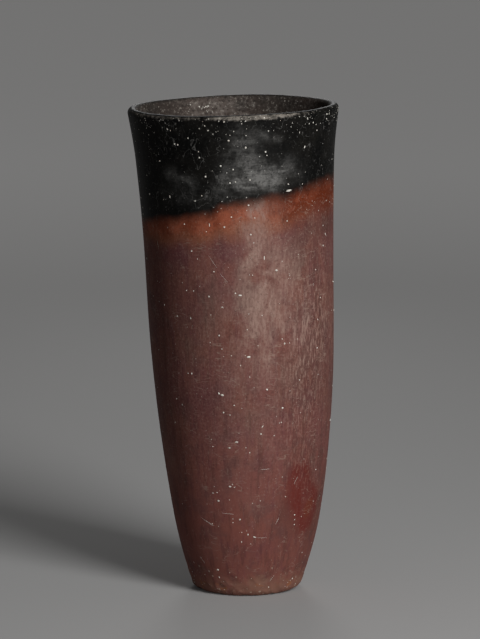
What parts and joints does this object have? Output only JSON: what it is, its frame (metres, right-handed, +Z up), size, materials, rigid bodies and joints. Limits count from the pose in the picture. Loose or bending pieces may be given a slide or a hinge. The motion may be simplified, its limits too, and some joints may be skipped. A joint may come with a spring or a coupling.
{
  "type": "black-topped beaker",
  "caption": "Tall hand-built clay beaker with a narrow flat foot, a slightly leaning wall and a flared mouth, red below and blackened at the top, for holding liquids or grain.",
  "frame": {"origin": "centre of the flat face that the beaker stands on", "axes": "+Z up from the resting face to the mouth; the wall leans towards -X; the picture looks along +Y"},
  "size_m": [0.1191, 0.1192, 0.2779],
  "materials": {
    "red_slip": "plum-red ochre slip over fired silt clay, burnished in upright strokes, dusty and scuffed",
    "black_top": "carbon-blackened burnished clay with lime specks and a worn lip"
  },
  "bodies": {
    "root": {"base_pad": "red_slip", "wall_course_1": "red_slip", "wall_course_2": "red_slip", "wall_course_3": "red_slip", "wall_course_4": "red_slip", "wall_course_5": "red_slip", "wall_course_6": "red_slip", "wall_course_7": "red_slip", "wall_course_8": "black_top", "rim_course": "black_top"}
  },
  "joints": []
}
